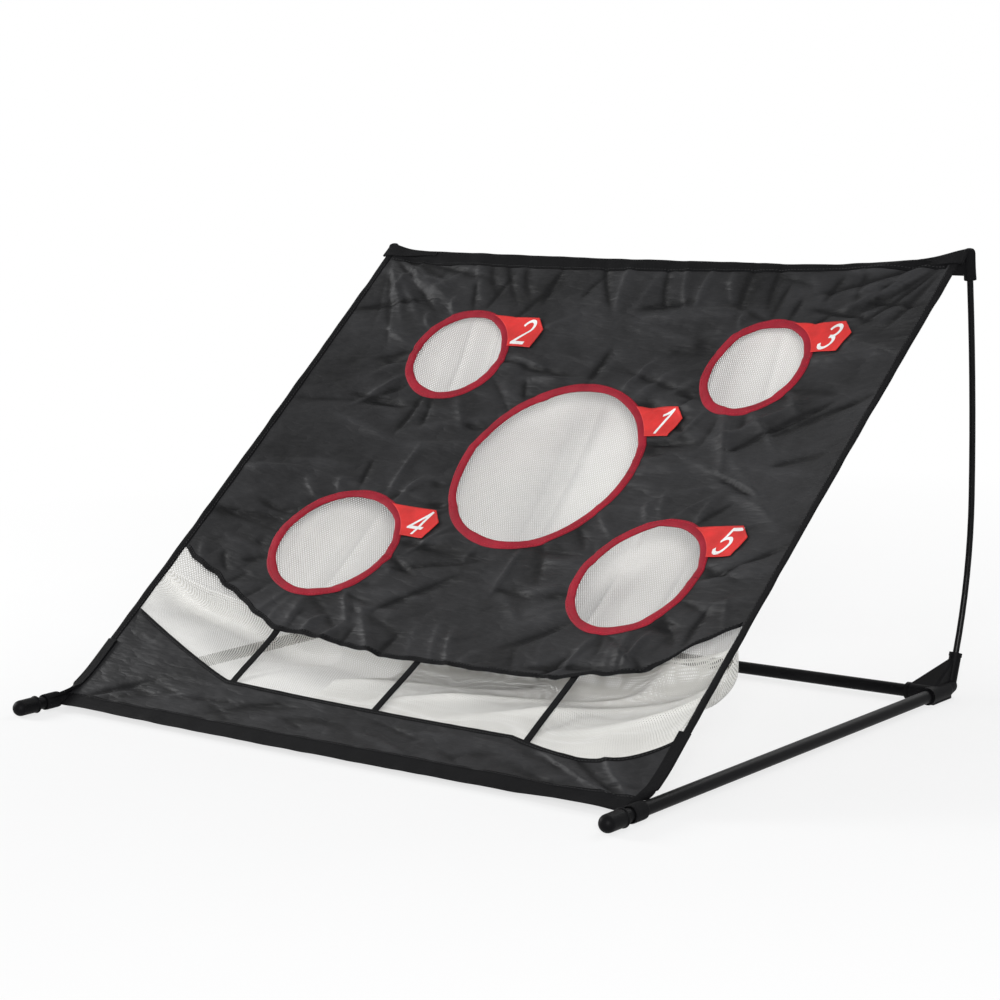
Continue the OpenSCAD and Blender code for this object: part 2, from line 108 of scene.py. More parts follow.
# %% Edges and sag of the cover
def arch(v):
    """A parabola: 0 at the top and bottom of the cover, 1 at half its height."""
    return np.maximum(0, 4 * (v / COVER_H) * (1 - v / COVER_H))


def half_at(v):
    """Half the cover's width: it spreads a little upwards and is drawn in between."""
    return HALF + TOP_OUT * v / COVER_H - EDGE_DRAW * arch(v)


def across(x):
    """A parabola: 1 in the middle of the cover's width, 0 at its side edges."""
    return np.maximum(0, 1 - (x / HALF) ** 2)


def turned(v):
    """The square of how far below FLARE_H a point is: the apron turning to the floor."""
    return np.maximum(0, (FLARE_H - v) / (FLARE_H + APRON)) ** 2


def cover_at(x, v):
    """The smooth cloth: it sags as the product of both parabolas, and flares below."""
    return FLARE * turned(v) - SAG * across(x) * arch(v)


def top_edge(x):
    """The cut edge at the top, lower by TOP_DIP in the middle of the width."""
    return COVER_H - TOP_DIP * across(x)


def bottom_edge(x):
    """The apron's edge, lower by BOTTOM_DIP in the middle of the width."""
    return -APRON - BOTTOM_DIP * across(x)


def ramp(x):
    """0 over the middle half of the width, rising evenly to 1 at the sides."""
    return np.maximum(0, (np.abs(x) / HALF - 0.5) / 0.5)


def slot_top_at(x):
    """Level over the middle half, then an even climb of SLOT_RISE to the sides."""
    return SLOT_TOP + SLOT_RISE * ramp(x)


def slot_lip(x):
    """The loose upper edge of the slots: slot_top_at, drawn up on the left, hanging
    in a belly by the right corner, with short waves, largest where the edge climbs."""
    wave = np.sin(x / 0.0105 + 0.8) + 0.8 * np.sin(x / 0.0062) + 0.6 * np.sin(x / 0.031)
    drawn_up = 12 * MM * np.clip((-x - 0.03) / 0.15, 0, 1)
    belly = 25 * MM * np.exp(-((x - 0.345) / 0.06) ** 2)
    return slot_top_at(x) + drawn_up - belly + wave * (0.4 + 1.5 * np.sqrt(ramp(x))) * MM


def top_line(x):
    """The upper hem's outer edge: the cut edge, pulled up on the left and down on the
    right by half a cosine wave, with a small dip by the right corner."""
    tilt = 1 + 5 * np.cos(np.pi * (x / HALF + 1) / 2)
    return top_edge(x) + (tilt - 3 * np.exp(-((x - 0.27) / 0.1) ** 2)) * MM


def slot_bottom_at(x):
    """The flap's edge: it climbs evenly on the left, and on the right it hangs slack
    in half a sine wave before it turns up with the fifth power of the ramp."""
    r = ramp(x)
    left = FLAP_RISE_LEFT * r ** 1.1
    right = FLAP_RISE_RIGHT * r ** 5 - FLAP_SLACK * np.sin(np.pi * np.minimum(1, r))
    return SLOT_BOTTOM - FLAP_TILT * x / HALF + np.where(x < 0, left, right)


def stacked(*parts):
    """Spreads arrays to one common shape and joins them as coordinates."""
    return np.stack(np.broadcast_arrays(*parts), -1)


def in_frame(x, v, w):
    """Turns cover coordinates by the lean, and moves them to the frame's origin."""
    y = v * math.cos(LEAN) - w * math.sin(LEAN) - MID_Y
    z = v * math.sin(LEAN) + w * math.cos(LEAN) + AXIS_H
    return stacked(x, y, z)


def mix(a, b, t):
    """The straight line from a (t = 0) to b (t = 1)."""
    return a + (b - a) * t


print("a corner of the cover in the frame:", in_frame(HALF, COVER_H, 0.0).round(3))

# %% [markdown]
# ## Wrinkles
# Thin coated nylon doesn't hang in smooth waves. It keeps crisp creases: puckers
# round each sewn ring, gathers under the top hem and over the slots, and long
# slanting pulls between them. Each crease is a ridge along a line, so it could be
# sculpted or simulated, but a sum of simple ridges is quick, always the same, and
# lets the rings and tabs lie on the very same surface.

# %% The set of creases
draw = np.random.default_rng(11)
pick = draw.uniform
CREASES = []
CREASE_SCALE = 2.5          # all depths below are drawn this much deeper
STRAY_CREASES = 110


def circle(n):
    """n even angles, once round."""
    return np.linspace(0, 2 * np.pi, n, endpoint=False)


def crease(x, v, angle, length, width, depth):
    """A row of the table: the middle, the direction, and the sizes in millimetres."""
    CREASES.append((x, v, math.cos(angle), math.sin(angle), length * MM, width * MM,
        depth * CREASE_SCALE * MM))


for tx, tv, tr in TARGETS:
    for angle in circle(16) + pick(0, 0.35, 16):
        reach = pick(30, 100)
        start = tr + RING_W * 0.6 + reach * MM / 2
        crease(tx + start * math.cos(angle), tv + start * math.sin(angle),
            angle + pick(-0.3, 0.3), reach, pick(4, 7.5), draw.choice([-1, 1]) * pick(0.8, 2.0))
for spot in np.linspace(-0.42, 0.42, 26):
    crease(spot + pick(-0.01, 0.01), COVER_H - 52 * MM, math.pi / 2 + pick(-0.7, 0.7),
        pick(40, 90), pick(4, 8), pick(-1.6, 1.6))
    crease(spot, float(slot_top_at(spot)) + pick(0.015, 0.04),
        math.pi / 2 + pick(-0.8, 0.8), pick(30, 80), pick(4, 8), pick(-2.0, 2.0))
    crease(spot + pick(-0.02, 0.02), pick(0.01, 0.05), pick(-0.5, 0.5), pick(40, 120),
        pick(4, 8), pick(-1.4, 1.4))
for side, height, lean_in in ((-1, COVER_H, -0.7), (1, COVER_H, math.pi + 0.7),
        (-1, -0.02, 0.3), (1, -0.02, math.pi - 0.3)):
    for turn in np.linspace(-0.5, 0.5, 8) * (1 if height > 0 else 0.7):
        reach = pick(80, 180)
        away = reach * MM / 2 + 0.03
        angle = lean_in + turn
        crease(side * HALF + away * math.cos(angle), height + away * math.sin(angle),
            angle, reach, pick(3.5, 6.5), pick(-2.2, 2.2))
for _ in range(STRAY_CREASES):
    crease(pick(-0.44, 0.44), pick(0.17, 0.83),
        draw.choice([-1, 1]) * abs(draw.normal(0.25, 0.35)), pick(50, 210), pick(3.8, 8),
        draw.choice([-1, 1]) * pick(0.7, 2.3))
print("creases:", len(CREASES))

# %% The wrinkled surface
def ease(t):
    """0 to 1 with level ends: 3t^2 - 2t^3."""
    t = np.clip(t, 0, 1)
    return t * t * (3 - 2 * t)


SIDE_CALM = 45 * MM         # how far calm reaches in from a side edge
RING_CALM = 20 * MM


def calm(x, v):
    """How freely the cloth may crease: a product of shares, each eased from little at
    the side hems, on the stitched rings and under the tabs to 1 away from them."""
    free = ease((half_at(v) - np.abs(x)) / SIDE_CALM)
    for tx, tv, tr in TARGETS:
        band = np.abs(np.hypot(x - tx, v - tv) - tr - RING_W / 2) - RING_W / 2
        free = free * (0.35 + 0.65 * ease(band / RING_CALM))
        out = tr + RING_W
        u = (x - tx - out * math.cos(TAB_ANGLE) - TAB_REACH * 0.4) / (TAB_REACH * 0.75)
        t = (v - tv - out * math.sin(TAB_ANGLE)) / (TAB_H * 0.7)
        free = free * (0.22 + 0.78 * ease(np.hypot(u, t) * 2.2 - 1.5))
    return free


def creased(x, v):
    """Height and painted shade of all creases. Each is a sharp bell across its line,
    1 / (1 + d^2), steeper on one side, times a soft cap along it. The painted shade is the
    squared bell with the sign of the height: ridges get a painted pale sheen, and valleys
    get painted crease shadow."""
    x, v = np.broadcast_arrays(x, v)
    height = np.zeros(x.shape)
    painted_shade_and_sheen = np.zeros(x.shape)
    for cx, cv, c, s, length, width, depth in CREASES:
        along = ((x - cx) * c + (v - cv) * s) / (length / 2)
        off = ((v - cv) * c - (x - cx) * s) / width
        bend = (off + 0.5 * along ** 2) * np.where(off > 0, 1.5, 0.8)
        bell = 1 / (1 + bend ** 2)
        cap = np.exp(-along ** 4)
        height += depth * cap * bell
        # painted crease shadow in the valleys and a painted sheen on the ridges, for the colour only
        painted_shade_and_sheen += depth / (3 * MM) * cap * bell ** 2
    free = calm(x, v)
    return height * free, np.clip(painted_shade_and_sheen * np.sqrt(free), -1, 0.4)


def cloth_at(x, v):
    """Where the cloth lies: the smooth cover plus its creases."""
    return cover_at(x, v) + creased(x, v)[0]


print("crease height near the middle, mm:", round(float(creased(0.1, 0.7)[0]) / MM, 2))

# %% [markdown]
# ## Putting surfaces into meshes
# A grid of points becomes quads by index arithmetic. Swept pieces close round their
# section, and their ends are closed with a fan. A piece carries its flat cloth
# position, in metres, as its UV map, so a weave keeps its real scale on any shape.

# %% Mesh helpers
def grid_faces(rows, cols, wrap=False):
    """Quads between neighbours of a rows x cols grid; wrap joins the last column to
    the first."""
    r, c = np.meshgrid(np.arange(rows - 1), np.arange(cols - (0 if wrap else 1)),
        indexing="ij")
    n = (c + 1) % cols
    below = (r + 1) * cols
    return stacked(r * cols + c, r * cols + n, below + n, below + c).reshape(-1, 4)


def in_scene(name, data):
    """An object that shows a mesh, lamp or camera, at the origin."""
    obj = bpy.data.objects.new(name, data)
    bpy.context.scene.collection.objects.link(obj)
    return obj


def piece(name, points, faces, uv, material):
    """A mesh object at the origin from points, faces and one UV per point."""
    mesh = bpy.data.meshes.new(name)
    mesh.from_pydata(points.reshape(-1, 3).tolist(), [], [list(map(int, f)) for f in faces])
    corners = np.zeros(len(mesh.loops), np.int32)
    mesh.loops.foreach_get("vertex_index", corners)
    layer = mesh.uv_layers.new(name="cloth")
    layer.data.foreach_set("uv", uv.reshape(-1, 2)[corners].astype(np.float32).ravel())
    mesh.polygons.foreach_set("use_smooth", np.ones(len(mesh.polygons), bool))
    mesh.materials.append(material)
    obj = in_scene(name, mesh)
    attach(obj, ROOT)
    return obj


def volume(points, faces):
    """Six times the signed volume: the sum of a . (b x c) over the faces' triangles."""
    p = points.reshape(-1, 3)
    tri = np.concatenate([faces[:, [0, 1, 2]], faces[:, [0, 2, 3]]])
    a, b, c = p[tri[:, 0]], p[tri[:, 1]], p[tri[:, 2]]
    return float(np.einsum("ij,ij->", a, np.cross(b, c)))


def swept(name, rows, uv, material, loop=False):
    """Carries a closed section along stations. rows is stations x section x 3. An open
    sweep gets its ends closed by a point in the middle of each."""
    n, m = rows.shape[:2]
    points = rows.reshape(-1, 3)
    uv = uv.reshape(-1, 2)
    if loop:
        faces = grid_faces(n + 1, m, wrap=True) % (n * m)
    else:
        faces = grid_faces(n, m, wrap=True)
        k = np.arange(m)
        j = (k + 1) % m
        ends = [rows[0].mean(0), rows[-1].mean(0)]
        points = np.concatenate([points, ends])
        uv = np.concatenate([uv, uv[:1], uv[-1:]])
        last = (n - 1) * m
        low = stacked(j, k, n * m, n * m)
        high = stacked(last + k, last + j, n * m + 1, n * m + 1)
        faces = np.concatenate([faces, low, high])
    if volume(points, faces) < 0:
        faces = faces[:, ::-1]
    faces = [list(dict.fromkeys(f)) for f in faces.tolist()]
    return piece(name, points, faces, uv, material)


def weld(obj):
    """Merges points that share a place, which closes a pole and drops its empty faces."""
    shell = bmesh.new()
    shell.from_mesh(obj.data)
    bmesh.ops.remove_doubles(shell, verts=shell.verts, dist=1e-6)
    shell.to_mesh(obj.data)
    shell.free()
    return obj


def thicken(obj, thickness, bevel=0.0):
    """A live Solidify gives a sheet its two faces and its cut edge."""
    wall = obj.modifiers.new("thickness", "SOLIDIFY")
    wall.thickness = thickness
    wall.offset = 0
    if bevel:
        edge = obj.modifiers.new("edge", "BEVEL")
        edge.width = bevel
        edge.segments = 2


print("a grid of 3 x 4 points has", len(grid_faces(3, 4)), "faces")

# %% [markdown]
# ## Finishes
# A finish is a small node tree. Threads and ribs come from waves in the cloth's own
# coordinates, slower noise shifts the colour a little as dye and handling do, and
# both feed the roughness or the bump, so nothing is one flat colour. The nylon's colour also carries
# painted shade in its creases and a painted sheen on their ridges.

# %% Node helpers
def feed(f, socket, value):
    """A value is a number, a colour or another node's socket."""
    if isinstance(value, bpy.types.NodeSocket):
        f["tree"].links.new(value, socket)
    else:
        socket.default_value = value


def feed_all(f, made, **inputs):
    """Feeds a node's inputs by name, with _ for each space."""
    for key, value in inputs.items():
        feed(f, made.inputs[key.replace("_", " ")], value)
    return made


def node(f, kind, **inputs):
    """Adds a node and feeds its inputs."""
    return feed_all(f, f["tree"].nodes.new(kind), **inputs)


def finish(name, colour, roughness):
    """A material with a Principled shader; returns its tree's parts in a dict."""
    material = bpy.data.materials.new(name)
    material.use_nodes = True
    tree = material.node_tree
    f = {"material": material, "tree": tree, "shader": tree.nodes["Principled BSDF"],
        "colour": colour}
    feed_all(f, f["shader"], Base_Color=(*colour, 1), Roughness=roughness)
    return f


def maths(f, operation, a, b=0.0, c=0.0):
    """One step of arithmetic on numbers or sockets."""
    made = node(f, "ShaderNodeMath")
    made.operation = operation
    for socket, value in zip(made.inputs, (a, b, c)):
        feed(f, socket, value)
    return made.outputs[0]


def own_place(f, uv=False):
    """Object coordinates, or the piece's own cloth coordinates."""
    if uv:
        made = node(f, "ShaderNodeUVMap")
        made.uv_map = "cloth"
        return made.outputs["UV"]
    return node(f, "ShaderNodeTexCoord").outputs["Object"]


def noise(f, place, scale, detail=3.0, rough=0.55):
    """Cloudy noise from 0 to 1, with about scale blobs to a metre."""
    made = node(f, "ShaderNodeTexNoise", Vector=place, Scale=scale, Detail=detail,
        Roughness=rough)
    return made.outputs["Fac"]


def tint(f, factor, dark, light):
    """Drives the colour from dark to light multiples of the finish's colour."""
    made = node(f, "ShaderNodeValToRGB", Fac=factor)
    for stop, k, place in zip(made.color_ramp.elements, (dark, light), (0.3, 0.7)):
        stop.color = (*(min(1, c * k) for c in f["colour"]), 1)
        stop.position = place
    feed_all(f, f["shader"], Base_Color=made.outputs["Color"])


def gloss_range(f, factor, low, high):
    """Drives the roughness from low to high."""
    made = node(f, "ShaderNodeMapRange", Value=factor, To_Min=low, To_Max=high)
    feed_all(f, f["shader"], Roughness=made.outputs["Result"])


def bump(f, *layers):
    """Stacks bumps: each layer is a height socket and the real height in metres."""
    below = {}
    for height, distance in layers:
        made = node(f, "ShaderNodeBump", Height=height, Distance=distance, Strength=1.0,
            **below)
        below = {"Normal": made.outputs["Normal"]}
    feed_all(f, f["shader"], **below)


def threads(f, place, pitch, across_share=1.0):
    """A plain weave: the product of two sine waves, one thread apart each way."""
    parts = node(f, "ShaderNodeSeparateXYZ", Vector=place)
    k = 2 * math.pi / pitch
    along = maths(f, "SINE", maths(f, "MULTIPLY", parts.outputs["X"], k))
    up = maths(f, "SINE", maths(f, "MULTIPLY", parts.outputs["Y"], k * across_share))
    return maths(f, "MULTIPLY_ADD", maths(f, "MULTIPLY", along, up), 0.5, 0.5)


# %% Frame finishes
def hard_finish(name, colour, roughness, grain, grain_height, coat=0.0):
    """Moulded or coated surfaces: a fine grain in the bump and slow gloss changes."""
    f = finish(name, colour, roughness)
    place = own_place(f)
    slow = noise(f, place, 18.0)
    fine = noise(f, place, grain, 2.0, 0.5)
    tint(f, slow, 0.8, 1.25)
    gloss_range(f, slow, roughness - 0.06, roughness + 0.08)
    bump(f, (fine, grain_height))
    feed_all(f, f["shader"], Specular_IOR_Level=0.05, Coat_Weight=coat, Coat_Roughness=0.2)
    return f["material"]


FRAME_BLACK = (0.004, 0.004, 0.0045)
powder_coat = hard_finish("powder_coat", FRAME_BLACK, 0.4, 900, 0.06 * MM)
nylon_moulding = hard_finish("nylon_moulding", FRAME_BLACK, 0.5, 1400, 0.1 * MM)
glass_fibre = hard_finish("glass_fibre", FRAME_BLACK, 0.35, 700, 0.03 * MM, 0.05)
dipped_vinyl = hard_finish("dipped_vinyl", FRAME_BLACK, 0.45, 420, 0.08 * MM)

FRAME_FINISH = {"tube": powder_coat, "connector": nylon_moulding, "upright_rod": glass_fibre,
    "rod_tip": dipped_vinyl, "front_cap": dipped_vinyl}
for name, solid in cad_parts.items():
    for word, material in FRAME_FINISH.items():
        if word in name:
            solid.data.materials.clear()
            solid.data.materials.append(material)
            print(name, "->", material.name)


# %% Cloth finishes
def nylon_cloth(name, colour):
    """Thin coated nylon: a fine plain weave under a net of small sharp creases. A
    crease is where noise passes its middle value, so 1 - |2n - 1| draws it as a line;
    two such layers run at a slant to each other."""
    f = finish(name, colour, 0.5)
    place = own_place(f, uv=True)
    layers = []
    for turn, stretch, height in ((0.4, (8, 24, 8), 0.006), (-0.4, (13, 44, 13), 0.002)):
        slant = node(f, "ShaderNodeMapping", Vector=place, Rotation=(0, 0, turn), Scale=stretch)
        fold = noise(f, slant.outputs["Vector"], 1.0, 3.0, 0.5)
        line = maths(f, "ABSOLUTE", maths(f, "MULTIPLY_ADD", fold, 2.0, -1.0))
        layers.append((line, height))
    slow = noise(f, place, 9.0, 5.0, 0.6)
    # The shade attribute paints crease shadow into the valleys and a pale sheen onto the ridges; it
    # is added to a slow random tone, and both drive the colour.
    painted_shade_and_sheen = node(f, "ShaderNodeAttribute")
    painted_shade_and_sheen.attribute_name = "painted_shade_and_sheen"
    with_painted_shade = maths(f, "MULTIPLY_ADD", painted_shade_and_sheen.outputs["Fac"], 0.36, slow)
    tint(f, with_painted_shade, 0.4, 1.6)
    gloss_range(f, slow, 0.42, 0.6)
    bump(f, *layers, (threads(f, place, 0.0011), 0.00005))
    feed_all(f, f["shader"], Specular_IOR_Level=0.1)
    return f["material"]


def tape(name, colour, rib, roughness=0.7, gloss=0.25):
    """Woven tape: ribs across its length, with a slow drift of colour."""
    f = finish(name, colour, roughness)
    place = own_place(f, uv=True)
    slow = noise(f, place, 30.0, 4.0)
    weave = threads(f, place, rib, 0.6)
    tint(f, slow, 0.8, 1.2)
    bump(f, (weave, rib * 0.16), (slow, 0.0008))
    feed_all(f, f["shader"], Specular_IOR_Level=gloss)
    return f["material"]


charcoal = nylon_cloth("charcoal_nylon", (0.018, 0.018, 0.019))
TAPE_BLACK = (0.0045, 0.0045, 0.005)
hem_tape = tape("hem_tape", TAPE_BLACK, 0.0011, gloss=0.06)
webbing = tape("webbing", TAPE_BLACK, 0.0018, gloss=0.06)
crimson = tape("crimson_binding", (0.29, 0.007, 0.021), 0.0012)
bright_red = tape("bright_red_tab", (0.64, 0.028, 0.026), 0.0008, 0.6)
red_thread = tape("red_thread", (0.46, 0.016, 0.036), 0.0006)
black_thread = tape("black_thread", (0.02, 0.02, 0.021), 0.0006)
white_print = tape("white_print", (0.88, 0.87, 0.85), 0.0008, 0.6)


def knitted_net(name, colour, pitch, level):
    """Knitted mesh: round gaps in a staggered grid, where the cloth isn't there at
    all. A gap is where the product of two cosine waves stands above a level."""
    f = finish(name, colour, 0.8)
    place = own_place(f, uv=True)
    parts = node(f, "ShaderNodeSeparateXYZ", Vector=place)
    k = 2 * math.pi / pitch
    a = maths(f, "COSINE", maths(f, "MULTIPLY", parts.outputs["X"], k))
    b = maths(f, "COSINE", maths(f, "MULTIPLY", parts.outputs["Y"], k * 0.62))
    gap = maths(f, "MULTIPLY", a, b)
    solid = node(f, "ShaderNodeMapRange", Value=gap, From_Min=level, From_Max=level + 0.15,
        To_Min=1.0, To_Max=0.0)
    feed_all(f, f["shader"], Alpha=solid.outputs["Result"])
    slow = noise(f, place, 14.0)
    tint(f, slow, 0.94, 1.04)
    return f["material"]


net_white = knitted_net("knitted_net", (0.745, 0.735, 0.7), 0.0034, 0.28)
print("finishes:", len(bpy.data.materials))

# %% [markdown]
# ## The target panel
# The panel is one sheet of cloth from the slots to the top hem. Its holes could be
# cut with a Boolean, but a fine grid is cleaner: the quads inside each circle are
# left out, and the points on the edge of the gap are pushed out to the circle, where
# the binding hides the cut.

# %% Panel and flap
UNDER_SIDE = 7 * MM         # how far the cloth reaches under a side hem
UNDER_TOP = 5 * MM          # from the top hem's outer edge to the panel's
UNDER_BOTTOM = 4 * MM
RING_OVERLAP = 2 * MM       # how far the cut edge lies back under its binding
SHEET_COLS = 310            # points across the panel and the flap, 3 mm apart


def cut_holes(x, v, faces, holes):
    """Drops quads whose middle is in a hole, then moves the points that the gap's edge
    left inside or near the circle radially onto it."""
    x, v = x.ravel().copy(), v.ravel().copy()
    for cx, cv, r in holes:
        away = np.hypot(x[faces].mean(1) - cx, v[faces].mean(1) - cv)
        inside = away < r
        rim = np.intersect1d(faces[inside].ravel(), faces[~inside].ravel())
        faces = faces[~inside]
        d = np.hypot(x[rim] - cx, v[rim] - cv)
        x[rim] = cx + (x[rim] - cx) * r / d
        v[rim] = cv + (v[rim] - cv) * r / d
    return x, v, faces


def cloth_panel(name, rows, low, high, holes=()):
    """A sheet between two edges, each a function of x, that reaches under the hems;
    the parameters are even shares of its width and height."""
    a, b = np.meshgrid(np.linspace(-1, 1, SHEET_COLS), np.linspace(0, 1, rows))
    reach = SIDE_HEM_W - UNDER_SIDE
    x0 = a * (HALF - reach)
    v = mix(low(x0), high(x0), b)
    x = a * (half_at(v) - reach)
    x, v, faces = cut_holes(x, v, grid_faces(*x.shape), holes)
    used, faces = np.unique(faces, return_inverse=True)
    faces = faces.reshape(-1, 4)
    x, v = x[used], v[used]
    # The second value from creased is painted shade for the colour: painted shadow in the crease
    # valleys, a painted sheen on the ridges.
    height, painted_shade_and_sheen = creased(x, v)
    made = piece(name, in_frame(x, v, cover_at(x, v) + height), faces, stacked(x, v),
        charcoal)
    with_painted_shade = made.data.attributes.new("painted_shade_and_sheen", "FLOAT", "POINT")
    with_painted_shade.data.foreach_set("value", painted_shade_and_sheen.astype(np.float32))
    return made


holes = [(x, v, r + RING_OVERLAP) for x, v, r in TARGETS]
panel = cloth_panel("panel_cloth", 236, slot_lip, lambda x: top_line(x) - UNDER_TOP, holes)
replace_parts(panel, "target_panel")
flap = cloth_panel("flap_cloth", 48, lambda x: bottom_edge(x) + BOTTOM_HEM_W - UNDER_BOTTOM,
    slot_bottom_at)
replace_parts(flap, "bottom_flap")
print("panel faces:", len(panel.data.polygons), "flap faces:", len(flap.data.polygons))


# %% [markdown]
# ## Hems
# Each edge is folded over into a flat sleeve. A hem is a rounded section, fuller at
# its outer fold and pressed thin along the seam, carried along the edge. Small waves
# along its length stand for the pucker that the stitching pulls in.

# %% Hem sections
SECTION = 14


def hem_section():
    """Share across the hem and height share, once round: a flat drop shape, fuller at
    the outer fold (share 1)."""
    t = circle(SECTION)
    share = 0.5 - 0.5 * np.cos(t)
    full = 0.45 + 0.55 * share ** 0.7
    return share, np.sin(t) * full


def pucker(along, size=0.5 * MM):
    """Three sine waves of unrelated lengths, which never line up the same way."""
    return size * (np.sin(along / 0.0131) + 0.7 * np.sin(along / 0.0292 + 1.3)
        + 0.5 * np.sin(along / 0.0077 + 2.1))


def hem(name, node_name, inner, outer, along, thick=HEM_T):
    """Carries the section between two lines, with puckers on top. inner and outer are
    stations x 2 arrays of (x, v); along is metres run."""
    share, height = hem_section()
    edge = pucker(along)[:, None] * share[None, :] * 0.5
    x = mix(inner[:, :1], outer[:, :1], share[None, :])
    v = mix(inner[:, 1:], outer[:, 1:], share[None, :])
    lift = height[None, :] * thick / 2 + pucker(along * 1.3)[:, None] * 0.4 + edge
    rows = in_frame(x, v, cloth_at(x, v) + lift)
    width = np.hypot(*(outer - inner)[0])
    uv = stacked(along[:, None], np.cumsum(np.full(SECTION, 2 * width / SECTION))[None, :])
    made = swept(name, rows, uv, hem_tape)
    if node_name:
        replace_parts(made, node_name)


share_across = np.linspace(-1, 1, 180)


def cross_line(edge):
    """Points (x, v) at even shares of the width, on an edge between the side hems."""
    v = edge(share_across * (HALF - SIDE_HEM_W))
    return stacked(share_across * (half_at(v) - SIDE_HEM_W), v)


FOLD_W = 8 * MM
LOWER_FOLD_W = FOLD_W * 0.8
FOLD_T = 2.2 * MM
for name, node_name, inner, outer, thick in (
        ("top_hem_sleeve", "top_hem", lambda x: top_edge(x) - TOP_HEM_W + 4 * MM, top_line,
            HEM_T),
        ("bottom_hem_sleeve", "bottom_hem", lambda x: bottom_edge(x) + BOTTOM_HEM_W,
            bottom_edge, HEM_T),
        ("upper_slot_edge", None, slot_lip, lambda x: slot_lip(x) + FOLD_W, FOLD_T),
        ("lower_slot_edge", None, lambda x: slot_bottom_at(x) - LOWER_FOLD_W,
            slot_bottom_at, FOLD_T)):
    hem(name, node_name, cross_line(inner), cross_line(outer), share_across * HALF, thick)
WEDGE_H = 100 * MM          # where the side hems end and the front loops' wedges start
up = np.linspace(WEDGE_H - 4 * MM, COVER_H, 170)
for side, word in SIDES:
    inner = stacked(side * (half_at(up) - SIDE_HEM_W + 3 * MM), up)
    hem(word + "_hem_sleeve", word + "_hem", inner, stacked(side * half_at(up), up), up)

# %% [markdown]
# ## Bindings round the holes
# Each hole's raw edge is bound with crimson tape, folded over the edge and stitched
# near its outer side. The section wraps the cloth: rounded at the hole, pressed flat
# along the seam. It is carried round the circle on the wrinkled cloth, and its width
# wanders a little, as hand-fed tape does.

# %% Rings
def blunt(wave, power):
    """A sine or cosine with a flatter crest: its sign times a power of its size."""
    return np.sign(wave) * np.abs(wave) ** power


def ring(n):
    """Section angle t and ring angle s: the radius is the hole's plus a share of the
    tape's width, and the height is a flattened sine with a dent at the stitch row."""
    cx, cv, r = TARGETS[n - 1]
    share, height = hem_section()
    share = 1 - share
    s = circle(220)[:, None]
    wander = 1 + 0.045 * np.sin(3 * s + n) + 0.03 * np.sin(8 * s + 2 * n)
    wander_in = 0.5 * MM * np.sin(5 * s + n) + 0.35 * MM * np.sin(11 * s)
    reach = r + wander_in * (1 - share) + share * RING_W * wander
    x = cx + reach * np.cos(s)
    v = cv + reach * np.sin(s)
    dent = 1 - 0.4 * np.exp(-((share - 0.8) / 0.08) ** 2)
    thick = blunt(height, 0.45) * dent * 1.9 * MM
    lift = thick + 0.25 * MM * np.sin(23 * s) * np.sin(np.pi * share)
    rows = in_frame(x, v, cloth_at(x, v) + lift)
    uv = stacked(s * r, share * RING_W + np.where(height < 0, RING_W, 0))
    made = swept(f"ring_binding_{n}", rows, uv, crimson, loop=True)
    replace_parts(made, f"target_ring_{n}")


for n in range(1, 6):
    ring(n)
print("rings:", len(TARGETS))

# %% [markdown]
# ## Number tabs
# A red flag is caught under each ring's outer edge and lies flat on the panel, with a
# blunt point at its free end. Its edges are turned under, so they stand a little
# prouder. The number is printed on it. A text object would do, but a few strokes, each
# a ribbon along a line or an arc, follow the cloth better.

# %% Tabs
TAB_LIFT = 1.35 * MM
TAB_TURN = 5 * MM


def tab_lift(a, b):
    """Turned-under edges: the sheet eases up within TAB_TURN of its outline."""
    side = np.minimum(b, 1 - b) * TAB_H / TAB_TURN
    end = (1 - a) * TAB_REACH / TAB_TURN
    return TAB_LIFT + 0.45 * MM * ease(1 - np.minimum(side, end))


def tab(n):
    """a runs out from the ring's circle to the pointed end and b up the tab; the end
    is a broken line through its low corner, its point and its high corner."""
    cx, cv, r = TARGETS[n - 1]
    r = r + RING_W
    mid = r * math.sin(TAB_ANGLE)
    end = r * math.cos(TAB_ANGLE) + TAB_REACH
    a, b = np.meshgrid(np.linspace(0, 1, 40), np.linspace(0, 1, 30))
    y = mid + (b - 0.5) * TAB_H
    start = np.sqrt((r - 3 * MM) ** 2 - y ** 2)
    stop = end - np.interp(b, [0, 0.62, 1], [9 * MM, 0, 16 * MM])
    x = cx + mix(start, stop, a)
    v = cv + y + 0.6 * MM * np.sin(5 * a + n) * (b - 0.5)
    points = in_frame(x, v, cloth_at(x, v) + tab_lift(a, b))
    made = piece(f"tab_{n}", points, grid_faces(*x.shape), stacked(x, v), bright_red)
    thicken(made, 0.8 * MM)
    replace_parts(made, f"number_tab_{n}")
    return cx + r * math.cos(TAB_ANGLE) + TAB_REACH * 0.5, cv + mid


# %% Numerals
NUMBER_H = 38 * MM
NARROW = 0.8                # the digits are narrower than the outline below
STROKE = 0.135              # its width, as a share of a numeral's height
SLANT = 0.26


def line(x0, y0, x1, y1):
    """Even points on a straight line."""
    return np.linspace((x0, y0), (x1, y1), 16)


def arc(cx, cy, rx, ry, start, stop):
    """Points on an ellipse round (cx, cy), at even angles in degrees."""
    t = np.radians(np.linspace(start, stop, 36))
    return stacked(cx + rx * np.cos(t), cy + ry * np.sin(t))


